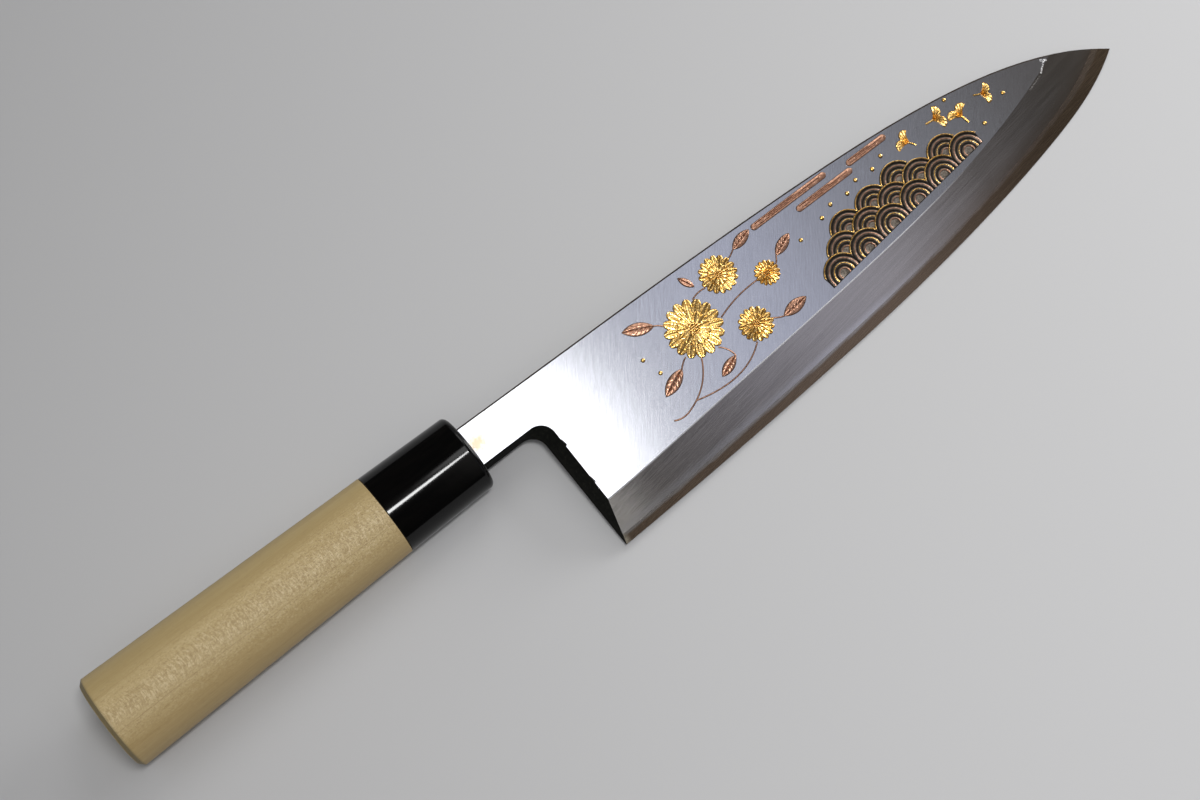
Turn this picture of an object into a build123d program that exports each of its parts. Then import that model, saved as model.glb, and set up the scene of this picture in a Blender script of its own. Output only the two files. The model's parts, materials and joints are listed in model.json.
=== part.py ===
from build123d import *
import os
from math import pi, sin, sqrt

# A deba knife, 240 mm along the edge, in millimetres.
# It is first made flat. X runs from the ferrule's front face to the tip along the handle's axis,
# Y points from the edge to the spine, and Z from the hollow back (ura) to the bevelled face (omote).
# The finished pieces are then laid down as the knife lies: on both ends of its handle and on its edge.

# Blade outline
tip_reach = 259.0
heel_reach = 20.8
spine_rise = 7.2
tip_drop = 23.1
heel_drop = 53.4
spine_shares = ((0.231, 0.0245), (0.547, 0.103), (0.767, 0.277), (0.906, 0.576))
edge_shares = ((0.165, 0.040), (0.361, 0.116), (0.535, 0.218), (0.714, 0.388), (0.836, 0.556), (0.931, 0.751))

# Blade thickness and grind
neck_thickness = 8.8
tip_thickness = 2.6
back_depth = 4.3
face_lean = 1.1
edge_land = 0.35
bevel_width = 16.5
bevel_width_shares = (0.86, 0.92, 0.975, 0.98, 0.99, 1.07, 1.20, 1.30)
spine_chamfer = 0.6

# Neck and choil
neck_drop = 6.9
neck_draft = 0.7
choil_lean = 4.0
choil_radius = 5.5

# Hard steel layer on the back, with its hollow
steel_at_heel = 1.9
steel_at_tip = 1.0
weld_drop = 16.0
weld_run = 12.0
hollow_depth = 0.5
hollow_rim = 2.6
hollow_stations_shares = ((0.035, 0.3), (0.12, 0.85), (0.35, 1.0), (0.6, 0.9), (0.8, 0.6), (0.9, 0.25))

# Handle and ferrule
handle_length = 135.8
ferrule_length = 33.1
butt_height = 32.4
butt_thickness = 28.2
front_height = 26.8
front_thickness = 23.3
butt_chamfer = 1.4
ferrule_round = 1.8
joint_bevel = 0.35
horn_wall = 3.4
horn_face = 7.0
tenon_clearance = 0.1

# Tang and its setting
tang_length = 96.0
tang_end_height = 6.5
tang_end_thickness = 4.0
resin_gap = 0.6
resin_recess = 0.7
socket_spare = 1.5

# Inlay in the flat of the omote face. Places along the blade and most motifs are shares of the blade's reach,
# and places down from the spine and the waves' radius are shares of the flat's height
inlay_depth = 0.55
inlay_proud = 0.15
flower_radius_share = 0.0386
flower_petals = 16
flower_heart_share = 0.34
flower_heart_rise = 0.25
petal_root_share = 0.62
petal_reach_share = 0.36
flower_shares = ((0.312, 0.46, 1.0), (0.381, 0.25, 0.66), (0.378, 0.71, 0.60), (0.432, 0.46, 0.44))
leaf_length_share = 0.0444
leaf_width_share = 0.0185
leaf_shares = (
    (0.275, 0.27, 155, 0.95), (0.268, 0.64, 202, 0.95), (0.347, 0.22, 115, 0.55), (0.332, 0.80, 200, 0.75),
    (0.412, 0.79, 4, 0.90), (0.455, 0.40, 22, 0.80), (0.416, 0.17, 14, 0.80),
)
ginkgo_radius_share = 0.0178
ginkgo_side_shares = ((0.36, 0.40), (0.98, 0.52))
ginkgo_top_shares = ((0.62, 0.98), (0.0, 0.74))
ginkgo_stalk_shares = (0.15, 0.62)
ginkgo_shares = (
    (0.692, 0.33, 35, 0.8), (0.737, 0.30, -96, 0.85), (0.772, 0.42, 10, 0.85), (0.812, 0.36, -115, 0.75),
)
wave_radius_share = 0.1633
wave_row_run_shares = (0.295, 0.245, 0.155)
wave_start_share = 0.487
wave_margin = 1.6
wave_row_lift_share = 0.62
wave_pitch_share = 1.72
wave_foot_share = 0.12
mist_height_share = 0.0093
mist_shares = ((0.515, 0.13, 0.124), (0.562, 0.225, 0.093), (0.640, 0.175, 0.066))
drop_radius_share = 0.0029
drop_shares = ((0.236, 0.42), (0.243, 0.57), (0.494, 0.42), (0.768, 0.23), (0.790, 0.56), (0.838, 0.46))
crest_drop_shares = ((-0.32, 1.30), (0.12, 1.48))

# Where the lying knife touches the table along its edge, and the rounds that find the table's plane
contact_share = 0.80
contact_rounds = 8

# One overrun serves every cut
overrun = 10.0

back_level = -back_depth
neck_top = back_level + neck_thickness
taper = (neck_thickness - tip_thickness) / tip_reach
lean = face_lean / (spine_rise + heel_drop)
tip = Vector(tip_reach, -tip_drop, back_level)
heel = Vector(heel_reach, -heel_drop, back_level)
spine_points = [(0, spine_rise)]
spine_points += [(tip.X * along, spine_rise - (spine_rise + tip_drop) * down) for along, down in spine_shares]
spine_points += [(tip.X, tip.Y)]
edge_stations = ((0, 0),) + edge_shares + ((1, 1),)
edge_run = tip - heel
edge_points = [(heel.X + edge_run.X * along, heel.Y + edge_run.Y * up) for along, up in edge_stations]


def face_level(x, y):
    """Height of the flat omote face over the handle's axis."""
    return neck_top - taper * x + lean * (y - spine_rise)


face_plane = Plane(origin=(0, 0, face_level(0, 0)), x_dir=(1, 0, -taper), z_dir=(taper, -lean, 1))
face_height = spine_rise + heel_drop - bevel_width


def on_face(along, down):
    """A place on the omote face, from shares of the blade's reach and of the flat's height."""
    return tip_reach * along, spine_rise - face_height * down


spine_curve = Edge.make_spline([Vector(*point) for point in spine_points])
edge_curve = Edge.make_spline([Vector(*point) for point in edge_points])


def height_on(curve, x):
    """The Y of an outline curve at x."""
    return curve.intersect(Edge.make_line((x, -heel_drop - overrun), (x, spine_rise + overrun)))[0].center().Y


# Cutter for the wide bevel (kiriba), a ramp from the edge up through the ridge line
with BuildPart() as bevel_cutter:
    before = (edge_points[0][0] - overrun, edge_points[0][1])
    after = (tip.X + overrun, tip.Y + overrun * (tip.Y - edge_points[-2][1]) / (tip.X - edge_points[-2][0]))
    stations = [before] + edge_points + [after]
    widths = [bevel_width_shares[0]] + list(bevel_width_shares) + [bevel_width_shares[-1]]
    for (x, y), share in zip(stations, widths):
        width = bevel_width * share
        slope = (face_level(x, y + width) - back_level - edge_land) / width
        low = (y - overrun, back_level + edge_land - slope * overrun)
        high = (y + width + overrun, back_level + edge_land + slope * (width + overrun))
        with BuildSketch(Plane(origin=(x, 0, 0), x_dir=(0, 1, 0), z_dir=(1, 0, 0))):
            with BuildLine():
                Polyline(low, high, (y - overrun, high[1]), close=True)
            make_face()
    loft()

# Cutter for the step from the neck to the heel (choil), which leans from the back to the face
with BuildPart() as choil_cutter:
    low_end = heel.Y - overrun
    for level, share in ((back_level, 0), (neck_top, 1)):
        side = heel_reach + choil_lean * share
        top = -neck_drop - neck_draft * (1 - share)
        with BuildSketch(Plane.XY.offset(level)) as notch:
            with BuildLine():
                Polyline((-overrun, top), (side, top), (side, low_end), (-overrun, low_end), close=True)
            make_face()
            fillet(notch.vertices().group_by(Axis.X)[-1].sort_by(Axis.Y)[-1], radius=choil_radius)
    loft(ruled=True)

# Cutter for the hollow ground into the back (urasuki), one shallow arc across the blade at each station
with BuildPart() as hollow_cutter:
    outside = back_level - overrun
    for along, depth_share in hollow_stations_shares:
        x = heel.X + edge_run.X * along
        low_y = height_on(edge_curve, x) + hollow_rim
        high_y = height_on(spine_curve, x) - hollow_rim
        crown = back_level + hollow_depth * depth_share
        with BuildSketch(Plane(origin=(x, 0, 0), x_dir=(0, 1, 0), z_dir=(1, 0, 0))):
            with BuildLine():
                ThreePointArc((low_y, back_level), ((low_y + high_y) / 2, crown), (high_y, back_level))
                Polyline((high_y, back_level), (high_y, outside), (low_y, outside), (low_y, back_level))
            make_face()
    loft()

# The ground blade with its neck, before it is divided into its two metals
with BuildPart() as ground_blade:
    with BuildSketch(Plane.XY.offset(back_level)):
        with BuildLine():
            Spline(*spine_points)
            Spline(*reversed(edge_points))
            Polyline((heel.X, heel.Y), (0, heel.Y), (0, spine_rise))
        make_face()
    extrude(amount=neck_thickness + face_lean)
    split(bisect_by=face_plane, keep=Keep.BOTTOM)
    face_edges = ground_blade.faces().sort_by(Axis.Z)[-1].edges()
    chamfer(face_edges.filter_by(GeomType.BSPLINE).sort_by(Axis.Y)[-1], length=spine_chamfer)
    add(choil_cutter.part, mode=Mode.SUBTRACT)
    add(bevel_cutter.part, mode=Mode.SUBTRACT)
    add(hollow_cutter.part, mode=Mode.SUBTRACT)

# Room of the hard steel: a thin wedge over the back, which stops at a slanted weld line behind the neck
steel_slope = (steel_at_heel - steel_at_tip) / edge_run.X
weld_plane = Plane(
    origin=(heel.X, -weld_drop, 0),
    x_dir=(weld_run, spine_rise + weld_drop, 0),
    z_dir=(spine_rise + weld_drop, -weld_run, 0),
)
with BuildPart() as steel_room:
    with BuildSketch(Plane.XZ):
        with BuildLine():
            Polyline(
                (-overrun, back_level + steel_at_heel + steel_slope * (heel.X + overrun)),
                (tip.X + overrun, back_level + steel_at_tip - steel_slope * overrun),
                (tip.X + overrun, back_level - overrun),
                (-overrun, back_level - overrun),
                close=True,
            )
        make_face()
    extrude(amount=tip_reach, both=True)
    split(bisect_by=weld_plane, keep=Keep.TOP)

with BuildPart() as edge_steel:
    add(ground_blade.part)
    add(steel_room.part, mode=Mode.INTERSECT)

# Handle sections are ovals on the handle's axis, from the butt at the back to the ferrule's front face
ferrule_back = -ferrule_length
horn_inside = -horn_face


def oval_at(x, inset=0):
    """Half height and half thickness of the handle at x, less an inset."""
    share = -x / handle_length
    high = front_height + (butt_height - front_height) * share
    thick = front_thickness + (butt_thickness - front_thickness) * share
    return high / 2 - inset, thick / 2 - inset


def across(x):
    """The plane across the handle at x, with its own x along the handle's height."""
    return Plane(origin=(x, 0, 0), x_dir=(0, 1, 0), z_dir=(1, 0, 0))


def tapered_bar(start, end, gap):
    """The tang's bar from one place to another, larger by a gap all round."""
    with BuildPart() as bar:
        for x in (start, end):
            share = -x / tang_length
            high = spine_rise + neck_drop + (tang_end_height - spine_rise - neck_drop) * share
            thick = neck_thickness + (tang_end_thickness - neck_thickness) * share
            centre_y = (spine_rise - neck_drop) / 2 * (1 - share)
            centre_z = (neck_top + back_level) / 2 * (1 - share)
            with BuildSketch(across(x)):
                with Locations((centre_y, centre_z)):
                    Rectangle(high + 2 * gap, thick + 2 * gap)
        loft(ruled=True)
    return bar.part


tang_bar = tapered_bar(0, -tang_length, 0)
socket_room = tapered_bar(0, -tang_length - socket_spare, resin_gap)

with BuildPart() as handle:
    for x in (-handle_length, ferrule_back):
        with BuildSketch(across(x)):
            Ellipse(*oval_at(x))
    loft()
    chamfer(handle.faces().sort_by(Axis.X)[0].edges(), length=butt_chamfer)
    for x in (ferrule_back, horn_inside):
        with BuildSketch(across(x)):
            Ellipse(*oval_at(x, horn_wall + tenon_clearance))
    loft()
    add(socket_room, mode=Mode.SUBTRACT)

with BuildPart() as ferrule:
    for x in (ferrule_back, 0):
        with BuildSketch(across(x)):
            Ellipse(*oval_at(x))
    loft()
    fillet(ferrule.faces().sort_by(Axis.X)[-1].edges(), radius=ferrule_round)
    chamfer(ferrule.faces().sort_by(Axis.X)[0].edges(), length=joint_bevel)
    for x in (ferrule_back, horn_inside):
        with BuildSketch(across(x)):
            Ellipse(*oval_at(x, horn_wall))
    loft(mode=Mode.SUBTRACT)
    add(socket_room, mode=Mode.SUBTRACT)

with BuildPart() as tang_resin:
    add(socket_room)
    add(tang_bar, mode=Mode.SUBTRACT)
    split(bisect_by=across(-resin_recess), keep=Keep.BOTTOM)

# Chrysanthemums, leaves, waves, mist bands and drops of spray, let into pockets in the omote face
inlay_plane = face_plane.offset(-inlay_depth)
inlay_height = inlay_depth + inlay_proud
flower_radius = tip_reach * flower_radius_share
leaf_length = tip_reach * leaf_length_share
leaf_width = tip_reach * leaf_width_share
ginkgo_radius = tip_reach * ginkgo_radius_share
wave_radius = face_height * wave_radius_share


def flower(place, radius):
    """A chrysanthemum with one ring of petals and a raised heart."""
    petal_half = radius * sin(pi / flower_petals)
    with BuildPart() as piece:
        with BuildSketch(inlay_plane):
            with Locations(place):
                Circle(radius * petal_root_share)
                with PolarLocations(radius * (1 - petal_reach_share), flower_petals):
                    Ellipse(radius * petal_reach_share, petal_half)
        extrude(amount=inlay_height)
        with BuildSketch(face_plane):
            with Locations(place):
                Circle(radius * flower_heart_share)
        extrude(amount=inlay_proud + flower_heart_rise)
    return piece.part


def leaf(place, turn, scale):
    """A pointed leaf between two arcs."""
    length = leaf_length * scale
    belly = leaf_width * scale / 2
    with BuildPart() as piece:
        with BuildSketch(inlay_plane):
            with BuildSketch(mode=Mode.PRIVATE) as outline:
                with BuildLine():
                    ThreePointArc((0, 0), (length / 2, belly), (length, 0))
                    ThreePointArc((0, 0), (length / 2, -belly), (length, 0))
                make_face()
            with Locations(Location(place, turn)):
                add(outline.sketch)
        extrude(amount=inlay_height)
    return piece.part


def ginkgo(place, turn, scale):
    """A fan-shaped leaf with a notch in its rim and a short stalk."""
    size = ginkgo_radius * scale
    (waist_x, waist_y), (corner_x, corner_y) = ginkgo_side_shares
    (crest_x, crest_y), (notch_x, notch_y) = ginkgo_top_shares
    stalk_width, stalk_length = ginkgo_stalk_shares
    with BuildPart() as piece:
        with BuildSketch(inlay_plane):
            with BuildSketch(mode=Mode.PRIVATE) as outline:
                with BuildLine():
                    for side in (-size, size):
                        corner = (corner_x * side, corner_y * size)
                        ThreePointArc((0, 0), (waist_x * side, waist_y * size), corner)
                        ThreePointArc(corner, (crest_x * side, crest_y * size), (notch_x, notch_y * size))
                make_face()
                Rectangle(stalk_width * size, 2 * stalk_length * size)
            with Locations(Location(place, turn)):
                add(outline.sketch)
        extrude(amount=inlay_height)
    return piece.part


# The waves stand in rows along the ridge line, each row half a pitch on and behind the one before
wave_pitch = wave_radius * wave_pitch_share
wave_lift = wave_radius * wave_row_lift_share
wave_row_counts = [int(tip_reach * run_share / wave_pitch) for run_share in wave_row_run_shares]
wave_run = wave_pitch * wave_row_counts[0]
wave_x = tip_reach * wave_start_share


def ridge_at(x):
    """The Y of the lowest line that the inlay may reach at x."""
    return height_on(edge_curve, x) + bevel_width + wave_margin


wave_line = Vector(wave_run, ridge_at(wave_x + wave_run) - ridge_at(wave_x))
wave_start = face_plane.from_local_coords((wave_x, ridge_at(wave_x)))
wave_along = face_plane.from_local_coords((wave_x + wave_line.X, ridge_at(wave_x) + wave_line.Y)) - wave_start
wave_plane = Plane(origin=wave_start, x_dir=wave_along, z_dir=face_plane.z_dir).offset(-inlay_depth)


def wave_centre(row, column):
    """The middle of a wave in the rows' own plane."""
    return wave_pitch * (column + (row + 1) / 2), wave_lift * row + wave_radius * wave_foot_share


def wave(row, column):
    """One scale of the wave pattern, cut away where the row in front covers it."""
    x, y = wave_centre(row, column)
    with BuildPart() as piece:
        with BuildSketch(wave_plane):
            with Locations((x, y)):
                Circle(wave_radius)
                Rectangle(wave_pitch, 2 * wave_radius, mode=Mode.INTERSECT)
            with Locations((x, 0)):
                Rectangle(wave_pitch, 2 * wave_radius + y, align=(Align.CENTER, Align.MIN), mode=Mode.INTERSECT)
            if row > 0:
                in_front = [wave_centre(row - 1, column), wave_centre(row - 1, column + 1)]
                with Locations(*in_front):
                    Circle(wave_radius, mode=Mode.SUBTRACT)
        extrude(amount=inlay_height)
    return piece.part


inlays = {}
for number, (along, down, scale) in enumerate(flower_shares, start=1):
    inlays[f"chrysanthemum_{number}"] = flower(on_face(along, down), flower_radius * scale)
for number, (along, down, turn, scale) in enumerate(leaf_shares, start=1):
    inlays[f"long_leaf_{number}"] = leaf(on_face(along, down), turn, scale)
for number, (along, down, turn, scale) in enumerate(ginkgo_shares, start=1):
    inlays[f"ginkgo_leaf_{number}"] = ginkgo(on_face(along, down), turn, scale)
for row, count in enumerate(wave_row_counts):
    for column in range(count):
        inlays[f"wave_row_{row + 1}_scale_{column + 1}"] = wave(row, column)
for number, (along, down, length_share) in enumerate(mist_shares, start=1):
    with BuildPart() as mist_band:
        with BuildSketch(inlay_plane):
            with Locations(on_face(along, down)):
                SlotOverall(tip_reach * length_share, tip_reach * mist_height_share)
        extrude(amount=inlay_height)
    inlays[f"mist_band_{number}"] = mist_band.part
with BuildPart() as drops:
    with BuildSketch(inlay_plane):
        with Locations(*[on_face(along, down) for along, down in drop_shares]):
            Circle(tip_reach * drop_radius_share)
    extrude(amount=inlay_height)
    with BuildSketch(wave_plane):
        for column in range(wave_row_counts[-1]):
            x, y = wave_centre(len(wave_row_counts) - 1, column)
            crest_drops = [(x + wave_pitch * along, y + wave_radius * up) for along, up in crest_drop_shares]
            with Locations(*crest_drops):
                Circle(tip_reach * drop_radius_share)
    extrude(amount=inlay_height)
inlays["spray_drops"] = drops.part

with BuildPart() as blade_cladding:
    add(ground_blade.part)
    add(steel_room.part, mode=Mode.SUBTRACT)
    add(tang_bar)
    for piece in inlays.values():
        add(piece, mode=Mode.SUBTRACT)


def lowest(x, up):
    """The point of the handle's oval at x that lies lowest when up points upwards."""
    high, thick = oval_at(x)
    reach = sqrt((high * up.Y) ** 2 + (thick * up.Z) ** 2)
    return Vector(x, -high ** 2 * up.Y / reach, -thick ** 2 * up.Z / reach)


# The knife lies on the whole length of its handle and on the curve of its edge
edge_contact = edge_curve.position_at(contact_share)
edge_touch = Vector(edge_contact.X, edge_contact.Y, back_level)
up = Vector(0, 0, 1)
for turn in range(contact_rounds):
    butt_touch = lowest(-handle_length + butt_chamfer, up)
    rim_touch = lowest(-ferrule_round, up)
    up = (edge_touch - butt_touch).cross(rim_touch - butt_touch).normalized()
table = Plane(origin=edge_touch, x_dir=Vector(1, 0, 0) - up * up.X, z_dir=up)

pieces = {
    "blade_cladding": blade_cladding.part,
    "edge_steel": edge_steel.part,
    "handle": handle.part,
    "ferrule": ferrule.part,
    "tang_resin": tang_resin.part,
}
pieces.update(inlays)
on_table = {name: table.to_local_coords(piece) for name, piece in pieces.items()}
outer_pieces = [on_table[name] for name in ("blade_cladding", "edge_steel", "handle", "ferrule")]
box = Compound(outer_pieces).bounding_box()
centred = Location((-box.center().X, -box.center().Y, -box.min.Z))
os.makedirs("parts", exist_ok=True)
for name, piece in on_table.items():
    finished = piece.moved(centred)
    finished.label = name
    export_step(finished, f"parts/{name}.step")
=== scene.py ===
import json
from functools import partialmethod
from math import acos, asin, cos, hypot, pi, radians, sin

import bpy
from mathutils import Euler, Matrix, Vector


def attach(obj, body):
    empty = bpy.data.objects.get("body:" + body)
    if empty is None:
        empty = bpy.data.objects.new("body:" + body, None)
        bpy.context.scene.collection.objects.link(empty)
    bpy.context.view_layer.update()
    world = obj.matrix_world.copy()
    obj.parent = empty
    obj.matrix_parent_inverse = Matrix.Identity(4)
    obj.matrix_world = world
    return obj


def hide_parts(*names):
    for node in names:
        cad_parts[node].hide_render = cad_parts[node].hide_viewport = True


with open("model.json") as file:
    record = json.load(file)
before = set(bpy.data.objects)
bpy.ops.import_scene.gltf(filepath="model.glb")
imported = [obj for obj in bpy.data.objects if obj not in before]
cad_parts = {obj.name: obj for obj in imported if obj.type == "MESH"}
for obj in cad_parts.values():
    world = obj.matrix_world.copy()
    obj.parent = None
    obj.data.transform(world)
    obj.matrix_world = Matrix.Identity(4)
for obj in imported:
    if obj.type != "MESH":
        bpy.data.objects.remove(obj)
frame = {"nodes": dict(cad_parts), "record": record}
bpy.ops.object.select_all(action="DESELECT")
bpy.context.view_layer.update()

MM = 0.001

# Sizes of the knife that its looks are laid out on, as in the part's source, in millimetres
handle_length = 135.8
tip_reach = 259.0
heel_reach = 20.8
spine_rise = 7.2
tip_drop = 23.1
heel_drop = 53.4
edge_shares = (
    (0.165, 0.040), (0.361, 0.116), (0.535, 0.218), (0.714, 0.388), (0.836, 0.556), (0.931, 0.751),
)
neck_thickness = 8.8
tip_thickness = 2.6
back_depth = 4.3
face_lean = 1.1
edge_land = 0.35
bevel_width = 16.5
neck_top = neck_thickness - back_depth
face_taper = (neck_thickness - tip_thickness) / tip_reach
face_tilt = face_lean / (spine_rise + heel_drop)
face_height = spine_rise + heel_drop - bevel_width
lie_roll = radians(5.352)

# The inlay's layout, as in the part's source
inlay_depth = 0.55
flower_radius = tip_reach * 0.0386
flower_petals = 16
petal_root_share = 0.62
petal_reach_share = 0.36
flower_shares = ((0.312, 0.46, 1.0), (0.381, 0.25, 0.66), (0.378, 0.71, 0.60), (0.432, 0.46, 0.44))
leaf_length = tip_reach * 0.0444
leaf_width = tip_reach * 0.0185
leaf_shares = (
    (0.275, 0.27, 155, 0.95), (0.268, 0.64, 202, 0.95), (0.347, 0.22, 115, 0.55), (0.332, 0.80, 200, 0.75),
    (0.412, 0.79, 4, 0.90), (0.455, 0.40, 22, 0.80), (0.416, 0.17, 14, 0.80),
)
ginkgo_radius = tip_reach * 0.0178
ginkgo_shares = (
    (0.692, 0.33, 35, 0.8), (0.737, 0.30, -96, 0.85), (0.772, 0.42, 10, 0.85), (0.812, 0.36, -115, 0.75),
)
wave_radius = face_height * 0.1633
wave_row_counts = (6, 5, 3)
wave_start_share = 0.487
wave_margin = 1.6
wave_lift = wave_radius * 0.62
wave_pitch = wave_radius * 1.72
wave_foot = wave_radius * 0.12
mist_height = tip_reach * 0.0093
mist_shares = ((0.515, 0.13, 0.124), (0.562, 0.225, 0.093), (0.640, 0.175, 0.066))
drop_radius = tip_reach * 0.0029
drop_shares = ((0.236, 0.42), (0.243, 0.57), (0.494, 0.42), (0.768, 0.23), (0.790, 0.56), (0.838, 0.46))
crest_drop_shares = ((-0.32, 1.30), (0.12, 1.48))

# The knife's own frame: x from the ferrule's front face to the tip, y up to the spine, z out of the face
butt = frame["record"]["mounts"][0]
along = -Vector(butt["axis"]).normalized()
level = Vector((0, 0, 1)).cross(along).normalized()
upright = along.cross(level)
knife_y = level * cos(lie_roll) + upright * sin(lie_roll)
knife_z = upright * cos(lie_roll) - level * sin(lie_roll)
knife = Matrix((along, knife_y, knife_z)).transposed().to_4x4()
knife.translation = Vector(butt["pos_m"]) + along * handle_length * MM
into_knife = knife.inverted()


def face_level(x, y):
    """Height of the flat face over the handle's axis, in millimetres."""
    return neck_top - face_taper * x + face_tilt * (y - spine_rise)


def edge_at(x):
    """Height of the cutting edge at x, straight between the places that lay out its curve."""
    stations = ((0, 0),) + edge_shares + ((1, 1),)
    share = (x - heel_reach) / (tip_reach - heel_reach)
    for (a, low), (b, high) in zip(stations, stations[1:]):
        if share <= b:
            return -heel_drop + (heel_drop - tip_drop) * (low + (high - low) * (share - a) / (b - a))
    return -tip_drop


# Camera, at the photograph's place over the knife
camera_place = Vector((-126.4, -133.1, 569.6)) * MM
camera_turn = Euler((radians(17.426), radians(0.402), radians(-39.060)))
camera_lens = 55.5

camera_data = bpy.data.cameras.new("camera")
camera_data.lens = camera_lens
camera_data.sensor_width = 36
camera_data.clip_start = 0.01
camera = bpy.data.objects.new("camera", camera_data)
camera.location = camera_place
camera.rotation_euler = camera_turn
bpy.context.scene.collection.objects.link(camera)
bpy.context.scene.camera = camera
bpy.context.scene.view_settings.view_transform = "Standard"


def studio_lamp(name, place, aim, width, length, radiance, shape="RECTANGLE"):
    """An area lamp that looks from one place at another, with the same radiance all over its face."""
    data = bpy.data.lights.new(name, "AREA")
    data.shape = shape
    data.size = width
    data.size_y = length
    area = width * length * (pi / 4 if shape == "ELLIPSE" else 1)
    data.energy = radiance * pi * area
    lamp = bpy.data.objects.new(name, data)
    lamp.location = place
    facing = (Vector(place) - Vector(aim)).normalized()
    lamp.rotation_euler = Vector((0, 0, 1)).rotation_difference(facing).to_euler()
    bpy.context.scene.collection.objects.link(lamp)


# A narrow oval lamp draws the line of light along the ferrule, and a wider one lies in the neck's mirror.
# A large one lights the floor from past the spine, and a low one past the tip throws the butt's shadow.
studio_lamp("line_lamp", (0, -0.163, 0.985), (0, -0.163, 0), 0.28, 0.110, 46, "ELLIPSE")
studio_lamp("neck_lamp", (0.160, 0.014, 0.985), (0.160, 0.014, 0), 0.168, 0.236, 3.0, "ELLIPSE")
studio_lamp("spine_lamp", (0.58, 0.50, 0.80), (0.05, 0, 0), 0.50, 0.50, 2.4)
studio_lamp("low_lamp", (1.05, 0.06, 0.36), (-0.10, 0, 0), 0.40, 0.55, 8.5)


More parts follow.
